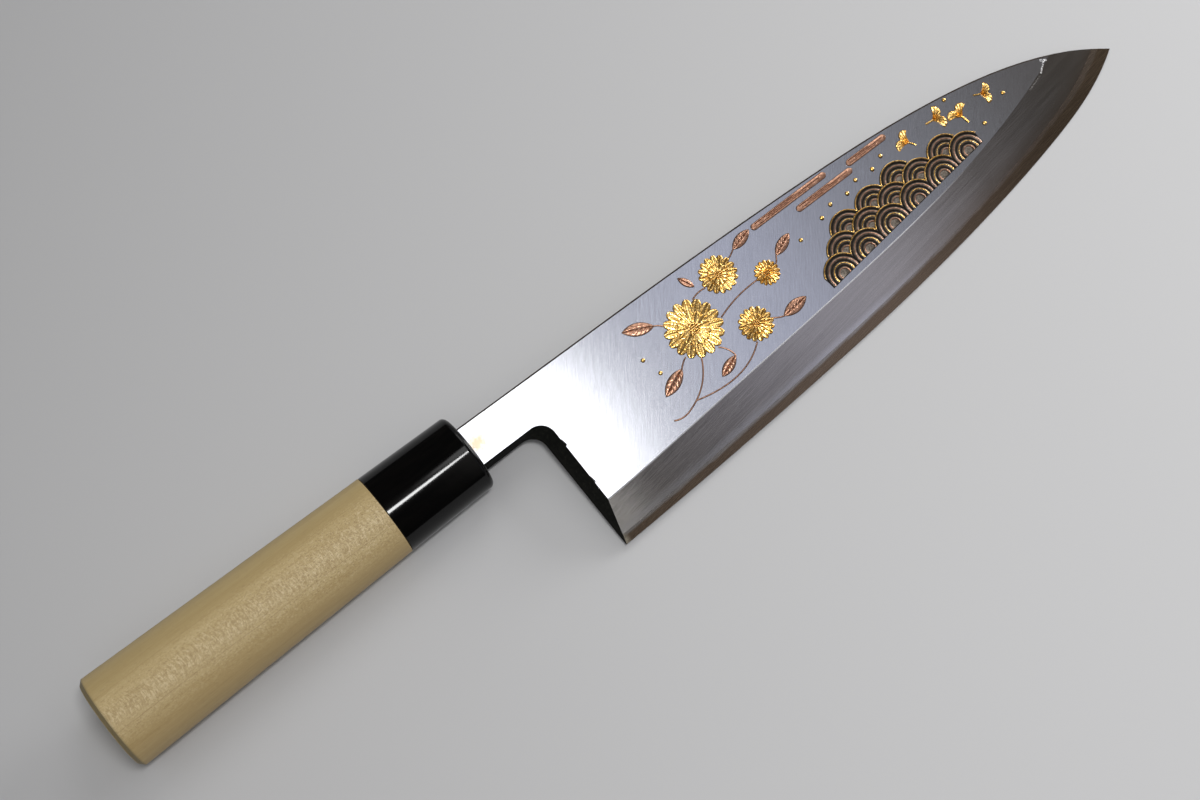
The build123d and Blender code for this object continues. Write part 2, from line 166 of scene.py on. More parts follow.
class Nodes:
    """Short ways to add and join the nodes of one tree."""

    def __init__(self, tree):
        self.tree = tree
        self.nodes = tree.nodes
        self.nodes.clear()

    def add(self, kind, values=(), **settings):
        """A node with its settings, and its inputs set or linked by name or number."""
        node = self.nodes.new(kind)
        for key, value in settings.items():
            setattr(node, key, value)
        for key, value in dict(values).items():
            self.feed(node.inputs[key], value)
        return node

    def feed(self, socket, value):
        """Sets an input to a value or links it to another node's output."""
        if isinstance(value, bpy.types.NodeSocket):
            self.tree.links.new(value, socket)
        else:
            socket.default_value = value

    def math(self, operation, *values, clamp=False):
        """The result of a Math node."""
        inputs = dict(enumerate(values))
        return self.add("ShaderNodeMath", inputs, operation=operation, use_clamp=clamp).outputs[0]

    # Each takes two values, but absolute takes one, and scaled a value, a factor and an offset
    times = partialmethod(math, "MULTIPLY")
    scaled = partialmethod(math, "MULTIPLY_ADD")
    plus = partialmethod(math, "ADD")
    minus = partialmethod(math, "SUBTRACT")
    over = partialmethod(math, "DIVIDE")
    larger = partialmethod(math, "MAXIMUM")
    smaller = partialmethod(math, "MINIMUM")
    absolute = partialmethod(math, "ABSOLUTE")

    def length(self, vector):
        """The length of a vector."""
        return self.add("ShaderNodeVectorMath", {0: vector}, operation="LENGTH").outputs["Value"]

    def between(self, value, low, high, start=0.0, end=1.0):
        """A smooth step of a value from one bound to the other."""
        values = {"Value": value, "From Min": low, "From Max": high, "To Min": start, "To Max": end}
        return self.add("ShaderNodeMapRange", values, interpolation_type="SMOOTHSTEP").outputs["Result"]

    def mix(self, factor, first, second, blend="MIX"):
        """A blend of two colours."""
        node = self.add("ShaderNodeMix", data_type="RGBA", blend_type=blend, clamp_factor=True)
        for name, given in (("Factor_Float", factor), ("A_Color", first), ("B_Color", second)):
            socket = next(s for s in node.inputs if s.identifier == name)
            self.feed(socket, (*given, 1) if isinstance(given, tuple) else given)
        return next(s for s in node.outputs if s.identifier == "Result_Color")

    def tint(self, colour, mask, strength, over):
        """A colour with another one over it, as strong as given where the mask is full."""
        return self.mix(self.times(mask, strength), colour, over)

    def ramp(self, factor, stops):
        """A colour ramp of places and colours."""
        node = self.add("ShaderNodeValToRGB", {"Fac": factor})
        elements = node.color_ramp.elements
        while len(elements) > 1:
            elements.remove(elements[-1])
        elements[0].position, elements[0].color = stops[0][0], (*stops[0][1], 1)
        for place, colour in stops[1:]:
            elements.new(place).color = (*colour, 1)
        return node.outputs["Color"]

    def turned(self, vector, place=(0, 0, 0), turn=(0, 0, 0), scale=(1, 1, 1), kind="POINT"):
        """Coordinates moved, turned and scaled by a Mapping node."""
        values = {"Vector": vector, "Rotation": turn, "Scale": scale}
        if kind == "POINT":
            values["Location"] = place
        return self.add("ShaderNodeMapping", values, vector_type=kind).outputs[0]

    def noise(self, vector, scale, detail=2.0, roughness=0.5, distortion=0.0):
        """The factor of a Noise texture."""
        values = {"Vector": vector, "Scale": scale, "Detail": detail, "Roughness": roughness}
        return self.add("ShaderNodeTexNoise", {**values, "Distortion": distortion}).outputs["Fac"]

    def grain(self, place, scale, *more):
        """A Noise texture with a scale of its own along each axis."""
        return self.noise(self.turned(place, scale=scale), 1.0, *more)

    def cells(self, vector, scale):
        """The outputs of a Voronoi texture of scattered cells."""
        values = {"Vector": vector, "Scale": scale, "Randomness": 1.0}
        return self.add("ShaderNodeTexVoronoi", values).outputs

    def apart(self, vector):
        """The three parts of a vector."""
        node = self.add("ShaderNodeSeparateXYZ", {"Vector": vector})
        return node.outputs["X"], node.outputs["Y"], node.outputs["Z"]

    def together(self, x, y, z):
        """A vector of three values."""
        return self.add("ShaderNodeCombineXYZ", {"X": x, "Y": y, "Z": z}).outputs[0]

    def toned(self, colour, tone):
        """A colour times a tone."""
        return self.mix(1.0, colour, self.together(tone, tone, tone), "MULTIPLY")

    def group(self, tree, **values):
        """The outputs of a shared group with its inputs set or linked."""
        return self.add("ShaderNodeGroup", values, node_tree=tree).outputs

    def stroke(self, place, start, end, width):
        """A soft stroke on the blade between two places of the knife's frame."""
        run = Vector(end) - Vector(start)
        turn = Vector((1, 0)).angle_signed(run)
        moved = self.turned(place, (-start[0], -start[1], 0))
        ahead, beside, _ = self.apart(self.turned(moved, turn=(0, 0, turn), kind="VECTOR"))
        past = self.larger(self.times(ahead, -1.0), self.minus(ahead, run.length))
        away = self.length(self.together(self.larger(past, 0.0), beside, 0.0))
        return self.between(away, width, width * 0.4)

    def knife_place(self):
        """Object coordinates turned into the knife's own frame, in millimetres."""
        place = self.add("ShaderNodeTexCoord").outputs["Object"]
        turned = self.turned(place, into_knife.translation, into_knife.to_euler())
        return self.turned(turned, scale=(1 / MM,) * 3)

    def knife_normal(self):
        """The surface's facing in the knife's own frame."""
        facing = self.add("ShaderNodeNewGeometry").outputs["True Normal"]
        return self.turned(facing, turn=into_knife.to_euler(), kind="VECTOR")


def new_group(name, vectors, numbers, results):
    """A shader node group that takes vectors and numbers and gives numbers, and its group nodes."""
    tree = bpy.data.node_groups.new(name, "ShaderNodeTree")
    kinds = ((vectors, "INPUT", "Vector"), (numbers, "INPUT", "Float"), (results, "OUTPUT", "Float"))
    for names, side, form in kinds:
        for socket in names:
            tree.interface.new_socket(socket, in_out=side, socket_type="NodeSocket" + form)
    nodes = Nodes(tree)
    return tree, nodes, nodes.add("NodeGroupInput").outputs, nodes.add("NodeGroupOutput").inputs


def height_over_face(n, x, y, z):
    """How far a point stands out of the flat face, in millimetres; below nought in a pocket."""
    plane = n.scaled(x, -face_taper, neck_top - face_tilt * spine_rise)
    plane = n.scaled(y, face_tilt, plane)
    return n.minus(z, plane)


def make_blade_zones():
    """Which ground face of the blade a point lies on, and how far it is from the ridge and the edge."""
    results = ("Flat", "Bevel", "Spine", "Back", "Depth", "From Ridge", "From Edge")
    tree, n, given, out = new_group("blade_zones", ("Place", "Facing"), (), results)
    x, y, z = n.apart(given["Place"])
    _, up, out_of = n.apart(given["Facing"])
    depth = height_over_face(n, x, y, z)
    facing_out = n.math("GREATER_THAN", out_of, 0.6)
    level_across = n.math("COMPARE", up, -face_tilt, 0.03)
    n.feed(out["Flat"], n.times(facing_out, level_across))
    n.feed(out["Bevel"], n.times(facing_out, n.math("LESS_THAN", up, -0.05)))
    n.feed(out["Spine"], n.math("GREATER_THAN", up, 0.3))
    n.feed(out["Back"], n.math("LESS_THAN", out_of, -0.6))
    n.feed(out["Depth"], depth)
    slope = n.larger(n.over(n.times(up, -1.0), n.larger(out_of, 0.1)), 0.05)
    ridge_slope = n.larger(n.minus(slope, face_tilt), 0.03)
    n.feed(out["From Ridge"], n.over(n.times(depth, -1.0), ridge_slope))
    rise = n.minus(z, edge_land - back_depth)
    n.feed(out["From Edge"], n.over(rise, slope))
    return tree


def make_brushing():
    """Fine scratches that run along the first axis, with longer cloudy streaks under them."""
    tree, n, given, out = new_group("brushing", ("Place",), ("Width", "Length"), ("Streaks", "Clouds"))
    x, y, z = n.apart(given["Place"])
    fine = n.together(n.over(x, given["Length"]), n.over(y, given["Width"]), n.times(z, 0.2))
    broad = n.turned(fine, scale=(0.35, 0.16, 1.0))
    n.feed(out["Streaks"], n.noise(fine, 1.0, 3.0, 0.65, 0.15))
    n.feed(out["Clouds"], n.noise(broad, 1.0, 2.0, 0.5, 0.4))
    return tree


def make_recess():
    """How deep a point of the inlay lies, from the bottom of its cuts to the crown of its relief."""
    tree, n, given, out = new_group("recess", ("Place",), ("Low", "High"), ("Raised",))
    rough_edge = n.scaled(n.noise(given["Place"], 3.0, 2.0), 0.12, -0.06)
    height = n.plus(height_over_face(n, *n.apart(given["Place"])), rough_edge)
    n.feed(out["Raised"], n.between(height, given["Low"], given["High"]))
    return tree


def make_specks():
    """Small scattered specks, as of dust, rust or pores."""
    tree, n, given, out = new_group("specks", ("Place",), ("Scale", "Amount"), ("Mask",))
    cells = n.cells(given["Place"], given["Scale"])
    near = n.math("LESS_THAN", cells["Distance"], 0.22)
    pick = n.apart(cells["Color"])[0]
    n.feed(out["Mask"], n.times(near, n.math("LESS_THAN", pick, given["Amount"])))
    return tree


blade_zones = make_blade_zones()
brushing = make_brushing()
recess = make_recess()
specks = make_specks()


class Finish(Nodes):
    """The nodes of a new material."""

    def __init__(self, name):
        self.material = bpy.data.materials.new(name)
        self.material.use_nodes = True
        super().__init__(self.material.node_tree)

    def shade(self, values):
        """The material, with a Principled shader that takes these values."""
        shader = self.add("ShaderNodeBsdfPrincipled", values)
        self.add("ShaderNodeOutputMaterial", {"Surface": shader.outputs[0]})
        return self.material


def bump(n, height, strength, distance):
    """The normal of a Bump node, with its distance in millimetres."""
    values = {"Height": height, "Strength": strength, "Distance": distance * MM}
    return n.add("ShaderNodeBump", values).outputs["Normal"]


def brushed(n, place, turn, width, length):
    """Brushing that runs at a turn on the knife, and the turned place it was laid on."""
    turned = n.turned(place, turn=(0, 0, turn))
    return n.group(brushing, Place=turned, Width=width, Length=length), turned


# The flat is brushed aslant, the bevel and the back nearly lengthwise, and the horn is rubbed across
flat_brush_turn = radians(-52.6)
bevel_brush_turn = radians(-8)
horn_rub_turn = radians(70)

# Forge scale is nearly black, dull and lumpy
forge_black = (0.003, 0.003, 0.0025)
forge_gloss = 0.12
forge_lump_height = 18.0

# Nicks in the flat along the wall at the heel: the place and width of each
heel_nicks = ((24.4, -16.4, 0.55), (24.0, -30.9, 0.75), (23.7, -34.0, 0.60), (23.4, -38.0, 0.50))


def setting_stain(n, colour, place, x, y):
    """The flat with the brown setting and its dark specks, where it crept onto the neck at the ferrule."""
    middle, squeeze = 3.2, 0.8
    stain_place = n.turned(place, (-middle * squeeze, 0.3, 0), scale=(squeeze, 1.0, 0))
    ragged = n.scaled(n.noise(place, 0.9, 4.0, 0.7), 5.0, -2.5)
    stain = n.between(n.plus(n.length(stain_place), ragged), 4.2, 0.6)
    colour = n.tint(colour, stain, 0.72, (0.38, 0.28, 0.12))
    dots = n.group(specks, Place=place, Scale=2.2, Amount=0.45)["Mask"]
    at_ferrule = n.times(n.between(x, 2.6, 1.2), n.between(n.absolute(n.plus(y, 0.5)), 3.2, 1.2))
    return n.mix(n.times(dots, at_ferrule), colour, (0.05, 0.035, 0.015))


def bevel_colour(n, brush_place, x, zone, lengthwise):
    """The bevel: scratched iron, hazy over the edge and brown along it, with painted highlight at the heel
    and painted shade at the tip.
    """
    tone = n.scaled(lengthwise["Streaks"], 0.70, n.scaled(lengthwise["Clouds"], 0.30, 0.46))
    colour = n.toned((0.47, 0.45, 0.435), tone)
    # Painted highlight: the bevel is paled towards the heel, so it mirrors the light brightly there
    colour = n.tint(colour, n.between(x, 42, 25), 0.85, (1.0, 0.985, 0.955))
    scratches = n.grain(brush_place, (0.10, 4.6, 0), 3.0, 0.7)
    scratches = n.times(n.between(scratches, 0.54, 0.40), n.between(x, 120, 30, 0.04, 0.38))
    colour = n.mix(scratches, colour, (0.14, 0.13, 0.12))
    haze = n.times(n.between(zone["From Edge"], 2.6, 3.6), n.between(zone["From Edge"], 6.5, 4.0))
    haze = n.times(haze, n.between(x, 185, 120))
    colour = n.tint(colour, haze, 0.5, (0.72, 0.72, 0.74))
    # Painted shade: the bevel darkened towards the tip
    colour = n.tint(colour, n.between(x, 200, 245), 0.60, (0.20, 0.17, 0.14))
    near_edge = n.times(n.between(zone["From Edge"], 11.0, 4.0), n.between(x, 120, 215))
    return n.tint(colour, near_edge, 0.72, (0.26, 0.205, 0.16))


def burr_mask(n, place):
    """Bright scratches of a burr, where the ridge runs out at the spine."""
    burr = n.stroke(place, (235.4, -12.1), (237.0, -13.1), 0.55)
    burr = n.larger(burr, n.stroke(place, (236.2, -12.9), (232.5, -15.6), 0.42))
    burr = n.larger(burr, n.times(n.stroke(place, (231.5, -16.2), (225.5, -17.9), 0.40), 0.20))
    return n.times(burr, n.between(n.noise(place, 1.9, 3.0, 0.7), 0.40, 0.60, 0.05, 0.85))


def nick_mask(n, place):
    """The dark nicks in the flat along the wall at the heel."""
    nicks = 0.0
    for x, y, width in heel_nicks:
        nicks = n.larger(nicks, n.stroke(place, (x + 0.1, y - 1.3), (x - 0.2, y + 0.6), width))
    return nicks


def make_ground_iron():
    """Brushed flat, bevel, brown spine and black forge scale of the soft iron body."""
    n = Finish("ground_iron")
    place = n.knife_place()
    x, y, _ = n.apart(place)
    zone = n.group(blade_zones, Place=place, Facing=n.knife_normal())
    across, _ = brushed(n, place, flat_brush_turn, 0.26, 5.0)
    lengthwise, bevel_place = brushed(n, place, bevel_brush_turn, 0.20, 16.0)
    grit = n.noise(place, 3.4, 2.0, 0.7)
    lumps = n.noise(place, 0.9, 5.0, 0.65)
    ground = n.plus(zone["Flat"], n.plus(zone["Bevel"], zone["Back"]), clamp=True)
    unground = n.minus(1.0, ground, clamp=True)
    burr = n.times(burr_mask(n, place), n.larger(zone["Flat"], zone["Bevel"]))
    nicks = n.times(nick_mask(n, place), zone["Flat"])
    # Painted shade: the floors of the inlay's pockets in the flat are darkened
    pocket = n.times(n.between(zone["Depth"], -0.15, -0.3), zone["Flat"])
    # Painted highlight: a pale line on the bevel along the ridge
    ridge = n.times(n.between(zone["From Ridge"], 0.50, 0.22), n.between(x, 205, 150))

    flat_tone = n.scaled(across["Streaks"], 0.46, n.scaled(grit, 0.30, 0.60))
    flat = n.toned((0.60, 0.61, 0.645), flat_tone)
    # Painted shade: the flat darkened towards the tip
    flat = n.tint(flat, n.between(x, 190, 235), 0.42, (0.35, 0.33, 0.315))
    flat = setting_stain(n, flat, place, x, y)
    # The bevel, with the painted highlight along its ridge
    bevel = n.mix(ridge, bevel_colour(n, bevel_place, x, zone, lengthwise), (0.95, 0.95, 0.96))
    spine = n.mix(n.noise(place, 0.35, 4.0), (0.035, 0.024, 0.016), (0.12, 0.095, 0.078))
    back = n.mix(lengthwise["Clouds"], (0.30, 0.30, 0.31), (0.46, 0.46, 0.47))
    blacks = ((0.3, forge_black), (0.55, (0.008, 0.0085, 0.0065)), (0.8, (0.032, 0.029, 0.022)))
    scale = n.ramp(lumps, blacks)
    # Painted shade: the forge scale darkened along the neck
    colour = n.tint(scale, n.between(x, 18, 10), 0.6, (0.001, 0.001, 0.001))
    for face, look in (("Flat", flat), ("Bevel", bevel), ("Spine", spine), ("Back", back)):
        colour = n.mix(zone[face], colour, look)
    colour = n.mix(burr, colour, (1.0, 1.0, 1.0))
    colour = n.mix(nicks, colour, (0.012, 0.011, 0.009))
    # Painted shade in the floors of the pockets
    colour = n.mix(pocket, colour, (0.02, 0.017, 0.014))

    rough = n.times(n.scaled(grit, 0.16, 0.085), zone["Flat"])
    bevel_rough = n.scaled(lengthwise["Streaks"], 0.10, 0.15)
    rough = n.scaled(bevel_rough, n.larger(zone["Bevel"], zone["Back"]), rough)
    for mask, more in ((unground, 0.85), (n.times(ridge, zone["Bevel"]), 0.22), (nicks, 0.5), (burr, 0.45)):
        rough = n.scaled(mask, more, rough)

    flat_grain = n.scaled(grit, 0.8, n.times(across["Streaks"], 0.8))
    fine = n.plus(n.times(flat_grain, zone["Flat"]), n.times(lengthwise["Streaks"], zone["Bevel"]))
    height = n.scaled(unground, n.times(lumps, forge_lump_height), fine)
    return n.shade({
        "Base Color": colour, "Metallic": n.larger(ground, zone["Spine"]), "Roughness": rough,
        "Specular IOR Level": forge_gloss, "Normal": bump(n, height, 0.4, 0.010),
    })


def make_hard_steel():
    """The hard layer: a brown strip along the edge, a satin back and forge scale at the heel."""
    n = Finish("hard_steel")
    place = n.knife_place()
    x = n.apart(place)[0]
    zone = n.group(blade_zones, Place=place, Facing=n.knife_normal())
    lengthwise, _ = brushed(n, place, bevel_brush_turn, 0.14, 6.0)
    lumps = n.noise(place, 0.9, 5.0, 0.65)
    ground = n.plus(zone["Bevel"], zone["Back"], clamp=True)
    unground = n.minus(1.0, ground)
    tone = n.scaled(lengthwise["Streaks"], 0.4, n.scaled(lengthwise["Clouds"], 0.3, 0.6))

    strip_top = n.scaled(x, 0.0083, n.scaled(lengthwise["Clouds"], 0.8, 1.9))
    into_strip = n.between(n.minus(zone["From Edge"], strip_top), 0.25, -0.65)
    to_tip = n.between(x, 110, 215)
    clear = n.mix(to_tip, (0.46, 0.435, 0.41), (0.24, 0.19, 0.15))
    brown = n.mix(to_tip, (0.26, 0.195, 0.14), (0.17, 0.125, 0.085))
    strip = n.mix(into_strip, clear, brown)
    # Painted highlight: a pale spot on the strip at the heel end of the bevel
    painted_heel_highlight = n.times(n.between(x, 23.6, 21.4), n.between(zone["From Edge"], 4.5, 1.0))
    strip = n.tint(strip, painted_heel_highlight, 0.8, (0.85, 0.78, 0.62))
    strip = n.toned(strip, tone)
    back = n.toned((0.50, 0.50, 0.515), tone)
    scale = n.mix(lumps, forge_black, (0.014, 0.0135, 0.011))
    colour = n.mix(zone["Back"], n.mix(zone["Bevel"], scale, strip), back)
    rough = n.scaled(unground, 0.60, n.scaled(lengthwise["Streaks"], 0.16, 0.18))
    height = n.scaled(unground, n.times(lumps, forge_lump_height), lengthwise["Streaks"])
    return n.shade({
        "Base Color": colour, "Metallic": ground, "Roughness": rough,
        "Specular IOR Level": forge_gloss, "Normal": bump(n, height, 0.4, 0.010),
    })


def ray_sheen_and_crackle(n, colour, place, x, shimmer, face_on):
    """Wood with a painted silvery sheen on its rays, darker patches between them and fine dark crackle; the
    sheen and the crackle are stronger near the ferrule.
    """
    # Painted sheen where the rays catch the light
    sheen = n.times(n.between(shimmer, 0.52, 0.64), n.times(face_on, n.between(x, -135, -30, 0.20, 0.46)))
    colour = n.mix(sheen, colour, (0.74, 0.62, 0.41))
    dull = n.times(n.between(shimmer, 0.46, 0.36), n.times(face_on, 0.48))
    colour = n.mix(dull, colour, (0.36, 0.25, 0.105))
    crackle = n.between(n.grain(place, (1.5, 2.5, 2.5), 3.0, 0.75), 0.46, 0.37)
    crackle = n.times(crackle, n.times(face_on, n.between(x, -120, -35, 0.42, 0.88)))
    return n.mix(crackle, colour, (0.30, 0.20, 0.08))


def grain_lines(n, colour, place, y, z, fibres):
    """Wood with thin dark lines of grain that drift along the face."""
    drift = n.scaled(n.grain(place, (0.015, 0, 0), 3.0, 0.6), 2.4, -1.2)
    for offset, width, strength in ((5.6, 0.20, 0.45), (-6.4, 0.16, 0.30), (-9.2, 0.14, 0.22)):
        line = n.absolute(n.plus(n.plus(y, offset), drift))
        line = n.times(n.between(line, width, 0.03), n.between(fibres, 0.35, 0.6, 0.3, 1.0))
        colour = n.tint(colour, n.times(line, n.between(z, 2.0, 6.0)), strength, (0.27, 0.17, 0.065))
    return colour


def sawn_end_and_rim_shade(n, colour, x):
    """Wood with its sawn end a little darker, and painted shade on the rim round the end."""
    depth = n.plus(x, handle_length)
    colour = n.tint(colour, n.between(depth, 0.15, 0.0), 0.35, (0.33, 0.24, 0.11))
    # Painted shade on the rim at the end of the butt
    rim = n.times(n.between(depth, 2.1, 1.1), n.between(depth, 0.0, 0.3))
    return n.tint(colour, rim, 0.80, (0.17, 0.135, 0.065))


def make_magnolia_wood():
    """Bare magnolia: soft lengthwise bands, fibres and pores, with short curly flecks across the grain."""
    n = Finish("magnolia_wood")
    place = n.knife_place()
    x, y, z = n.apart(place)
    bands = n.grain(place, (0.004, 0.20, 0.20), 3.0, 0.55, 0.2)
    fibres = n.grain(place, (0.045, 1.9, 1.9), 4.0, 0.7)
    fine = n.grain(place, (0.35, 3.2, 3.2), 3.0, 0.7)
    tone = n.scaled(bands, 0.50, n.scaled(fibres, 0.34, n.times(fine, 0.26)))
    colour = n.ramp(n.minus(tone, 0.05), (
        (0.33, (0.385, 0.278, 0.115)), (0.45, (0.470, 0.350, 0.162)),
        (0.55, (0.520, 0.398, 0.196)), (0.68, (0.590, 0.468, 0.250)),
    ))

    # Painted shade: both sides of the face are a little darker than its middle, where the round handle
    # turns away from the light
    upper_side_shade = n.between(n.plus(y, n.scaled(bands, 5.0, -2.5)), 3.5, 8.5)
    colour = n.tint(colour, upper_side_shade, 0.55, (0.385, 0.282, 0.120))
    colour = n.tint(colour, n.between(y, -5.0, -13.0), 0.45, (0.385, 0.262, 0.108))

    # Short curly flecks stand across the grain in a band along the middle of the face
    wander = n.scaled(n.grain(place, (0.02, 0, 0), 2.0), 5.0, -2.5)
    centre = n.plus(n.plus(y, n.scaled(x, 0.022, 3.0)), wander)
    band = n.between(n.absolute(centre), 5.0, 1.2)
    bowed = n.scaled(n.times(centre, centre), 0.05, x)
    curl_place = n.together(n.times(bowed, 1.5), n.times(y, 0.42), n.times(z, 0.05))
    curl = n.noise(curl_place, 1.0, 2.5, 0.6, 1.1)
    fleck = n.between(curl, 0.52, 0.60)
    gap = n.between(curl, 0.47, 0.39)
    colour = n.mix(n.times(fleck, n.times(band, 0.44)), colour, (0.74, 0.61, 0.37))
    colour = n.mix(n.times(gap, n.times(band, 0.62)), colour, (0.37, 0.26, 0.11))

    shimmer = n.grain(place, (1.3, 1.7, 1.7), 3.0, 0.7, 0.6)
    face_on = n.between(n.absolute(n.plus(y, 2.0)), 12.0, 4.0)
    colour = ray_sheen_and_crackle(n, colour, place, x, shimmer, face_on)
    colour = grain_lines(n, colour, place, y, z, fibres)
    pore_place = n.turned(place, scale=(0.28, 1.7, 1.7))
    pores = n.group(specks, Place=pore_place, Scale=1.2, Amount=0.30)["Mask"]
    colour = n.tint(colour, pores, 0.22, (0.31, 0.20, 0.085))
    height = n.plus(n.times(fibres, 0.6), n.times(pores, -0.8))
    height = n.scaled(n.times(curl, band), 1.0, height)
    height = n.scaled(n.times(shimmer, face_on), 0.8, height)
    return n.shade({
        "Base Color": sawn_end_and_rim_shade(n, colour, x), "Roughness": n.scaled(fibres, 0.18, 0.44),
        "Normal": bump(n, height, 0.7, 0.11),
    })


def make_black_horn():
    """Polished black horn with faint streaks, a few hairline rubs and a duller front rim."""
    n = Finish("black_horn")
    place = n.knife_place()
    streaks = n.grain(place, (0.06, 0.5, 0.5), 4.0, 0.6, 0.6)
    blacks = ((0.45, (0.001, 0.001, 0.001)), (0.7, (0.0025, 0.0022, 0.002)), (0.9, (0.008, 0.007, 0.006)))
    rubs, _ = brushed(n, place, horn_rub_turn, 0.25, 9.0)
    rim = n.between(n.apart(place)[0], -1.9, -1.2)
    rough = n.scaled(rim, 0.15, n.between(rubs["Streaks"], 0.5, 0.8, 0.09, 0.12))
    return n.shade({
        "Base Color": n.ramp(streaks, blacks), "Roughness": rough, "Specular IOR Level": 0.25,
        "Normal": bump(n, n.noise(place, 0.12, 1.0), 0.15, 0.05),
    })


def make_setting_resin():
    """Matt brown setting round the tang."""
    n = Finish("setting_resin")
    place = n.knife_place()
    colour = n.mix(n.noise(place, 1.4, 4.0, 0.6), (0.10, 0.055, 0.02), (0.34, 0.21, 0.085))
    rough = n.scaled(n.noise(place, 3.0), 0.3, 0.5)
    lumps = bump(n, n.noise(place, 1.6, 3.0), 0.6, 0.12)
    return n.shade({"Base Color": colour, "Roughness": rough, "Normal": lumps})


# Heights over the face, in millimetres, between which the inlay brightens
inlay_low, inlay_high = 0.02, 0.30


def make_inlay_metal(name, bright, deep, dark, metallic, roughness, chisel):
    """A chased metal that darkens in its cuts, with the facets of the chisel in its bump."""
    n = Finish(name)
    place = n.knife_place()
    raised = n.group(recess, Place=place, Low=inlay_low, High=inlay_high)["Raised"]
    colour = n.mix(n.between(n.noise(place, 1.3, 3.0, 0.6), 0.40, 0.62), deep, bright)
    grit = n.group(specks, Place=place, Scale=2.6, Amount=0.22)["Mask"]
    colour = n.tint(n.mix(raised, dark, colour), grit, 0.5, dark)
    rough = n.between(raised, 0.0, 1.0, roughness + 0.25, roughness)
    facets = bump(n, n.cells(place, 1.9)["Distance"], 0.35, chisel)
    return n.shade({"Base Color": colour, "Metallic": metallic, "Roughness": rough, "Normal": facets})


# The inlay's metals: colours from bright to dark, how metallic and rough, and how deep the chisel's marks
inlay_metals = {
    "gold": ((1.0, 0.68, 0.26), (0.72, 0.40, 0.09), (0.09, 0.045, 0.015), 1.0, 0.24, 0.12),
    "copper": ((0.60, 0.34, 0.23), (0.38, 0.20, 0.13), (0.05, 0.028, 0.02), 1.0, 0.32, 0.10),
    "dark_alloy": ((0.20, 0.17, 0.14), (0.10, 0.085, 0.07), (0.015, 0.012, 0.010), 0.8, 0.38, 0.14),
}
finishes = {
    "soft_iron": make_ground_iron(),
    "hard_steel": make_hard_steel(),
    "magnolia_wood": make_magnolia_wood(),
    "black_horn": make_black_horn(),
    "setting_resin": make_setting_resin(),
}
for name, look in inlay_metals.items():
    finishes[name] = make_inlay_metal(name, *look)
for row in frame["record"]["subparts"]:
    node = frame["nodes"][row["node"]]
    node.data.materials.clear()
    node.data.materials.append(finishes[row["material_slot"]])

# Points closer than this, in millimetres, are one
weld_reach = 0.0001


def place_on_face(x, y, turn=0.0):
    """The frame of a relief at a place on the face, turned about the face's normal."""
    normal = Vector((face_taper, -face_tilt, 1)).normalized()
    ahead = Vector((1, 0, -face_taper)).normalized()
    beside = normal.cross(ahead)
    frame_on_face = Matrix((ahead, beside, normal)).transposed().to_4x4()
    frame_on_face.translation = Vector((x, y, face_level(x, y)))
    return frame_on_face @ Matrix.Rotation(turn, 4, "Z")


def inlay_place(along_share, down_share, degrees=0.0):
    """Where an element of the inlay goes, from shares of the blade's reach and of the flat's height."""
    x = tip_reach * along_share
    return place_on_face(x, spine_rise - face_height * down_share, radians(degrees))


def edit(part):
    """Opens a part in edit mode with all of it selected."""
    bpy.ops.object.select_all(action="DESELECT")
    part.select_set(True)
    bpy.context.view_layer.objects.active = part
    bpy.ops.object.mode_set(mode="EDIT")
    bpy.ops.mesh.select_all(action="SELECT")


def close_part():
    """Turns the faces of the part in edit mode outwards and leaves edit mode."""
    bpy.ops.mesh.select_all(action="SELECT")
    bpy.ops.mesh.normals_make_consistent(inside=False)
    bpy.ops.object.mode_set(mode="OBJECT")


def wall_to_floor(part):
    """Extrudes the open border of a relief, flattens it onto the pocket's floor and closes it there."""
    edit(part)
    bpy.ops.mesh.remove_doubles(threshold=weld_reach)
    bpy.ops.mesh.region_to_loop()
    bpy.ops.mesh.extrude_edges_move()
    bpy.ops.transform.resize(value=(1, 1, 0), center_override=(0, 0, -inlay_depth))
    bpy.ops.mesh.edge_face_add()
    close_part()


def relief(outline, height, steps, strips):
    """A grid laid over an outline and raised to a height, both by a share along and a side."""
    bpy.ops.mesh.primitive_grid_add(x_subdivisions=steps, y_subdivisions=strips, size=2, calc_uvs=False)
    part = bpy.context.active_object
    for vertex in part.data.vertices:
        share, side = (vertex.co.x + 1) / 2, vertex.co.y
        vertex.co = (*outline(share, side), height(share, side))
    wall_to_floor(part)
    return part


def bead(radius, crown):
    """A small dome that stands in its pocket, cut from a sphere."""
    bpy.ops.mesh.primitive_uv_sphere_add(segments=12, ring_count=8, radius=1, calc_uvs=False)
    part = bpy.context.active_object
    edit(part)
    bpy.ops.mesh.bisect(plane_co=(0, 0, 0.05), plane_no=(0, 0, 1), clear_inner=True)
    bpy.ops.mesh.select_all(action="SELECT")
    bpy.ops.transform.resize(value=(radius, radius, crown), center_override=(0, 0, 0))
    bpy.ops.object.mode_set(mode="OBJECT")
    wall_to_floor(part)
    return part


def placed_copy(part, place):
    """A copy of a part with its own mesh, moved to a place."""
    copy = part.copy()
    copy.data = part.data.copy()
    copy.data.transform(place)
    bpy.context.scene.collection.objects.link(copy)
    return copy


